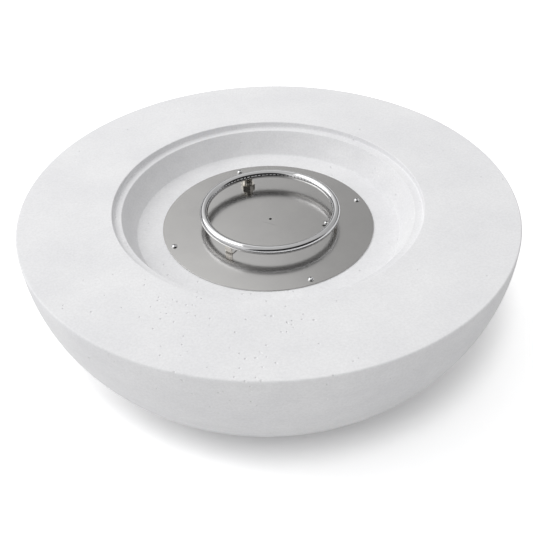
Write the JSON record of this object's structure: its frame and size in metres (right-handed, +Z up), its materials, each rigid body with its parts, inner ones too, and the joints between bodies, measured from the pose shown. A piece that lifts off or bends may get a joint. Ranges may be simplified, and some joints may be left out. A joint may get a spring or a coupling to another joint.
{
  "type": "concrete fire pit",
  "caption": "Round cast-concrete fire bowl with a wide flat rim, stepped recess, flat stainless burner pan, ring burner, gas tube and quarter-turn key valve.",
  "frame": {"origin": "on the ground under the centre of the bowl", "axes": "+Z up; the key valve is at the back, on the +Y side; the front is the -Y side"},
  "size_m": [1.0498, 1.05, 0.305],
  "materials": {
    "concrete": "cast, fine pits",
    "brushed_stainless": "brushed",
    "polished_stainless": "polished",
    "machined_stainless": "machined",
    "zinc_plated_steel": "zinc plated",
    "gas_tube_steel": "drawn, satin",
    "brass": "turned",
    "seal_rubber": "matt",
    "chrome_flange": "polished"
  },
  "bodies": {
    "pit": {"concrete_bowl": "concrete", "burner_pan": "brushed_stainless", "pan_screws": "polished_stainless", "pan_screw_inserts": "brass", "burner_ring": "polished_stainless", "ring_inlet_spud": "machined_stainless", "inlet_top_nut": "machined_stainless", "inlet_washer": "machined_stainless", "inlet_lower_nut": "machined_stainless", "ring_leg_left": "brushed_stainless", "ring_leg_right": "brushed_stainless", "leg_screws": "polished_stainless", "leg_nuts": "machined_stainless", "air_mixer": "zinc_plated_steel", "shutter_lock_screw": "machined_stainless", "orifice_fitting": "brass", "gas_tube": "gas_tube_steel", "flare_nuts": "brass", "valve_body": "brass", "stem_o_ring": "seal_rubber", "valve_bonnet_nut": "brass", "valve_sleeve": "zinc_plated_steel", "valve_washer": "zinc_plated_steel", "valve_lock_nut": "zinc_plated_steel", "valve_escutcheon": "chrome_flange"},
    "valve_plug": {"valve_plug": "brass"},
    "air_shutter": {"air_shutter": "zinc_plated_steel"}
  },
  "joints": [
    {"name": "key_valve_turn", "type": "hinge", "parent": "pit", "child": "valve_plug", "pos_m": [0, 0.40425, 0.19424], "axis": [0, 0.9272, -0.3746], "range_deg": [0, 90]},
    {"name": "air_shutter_turn", "type": "hinge", "parent": "pit", "child": "air_shutter", "pos_m": [-0.04498, 0.14297, 0.1569], "axis": [0, 0, 1], "range_deg": [0, 75]}
  ]
}
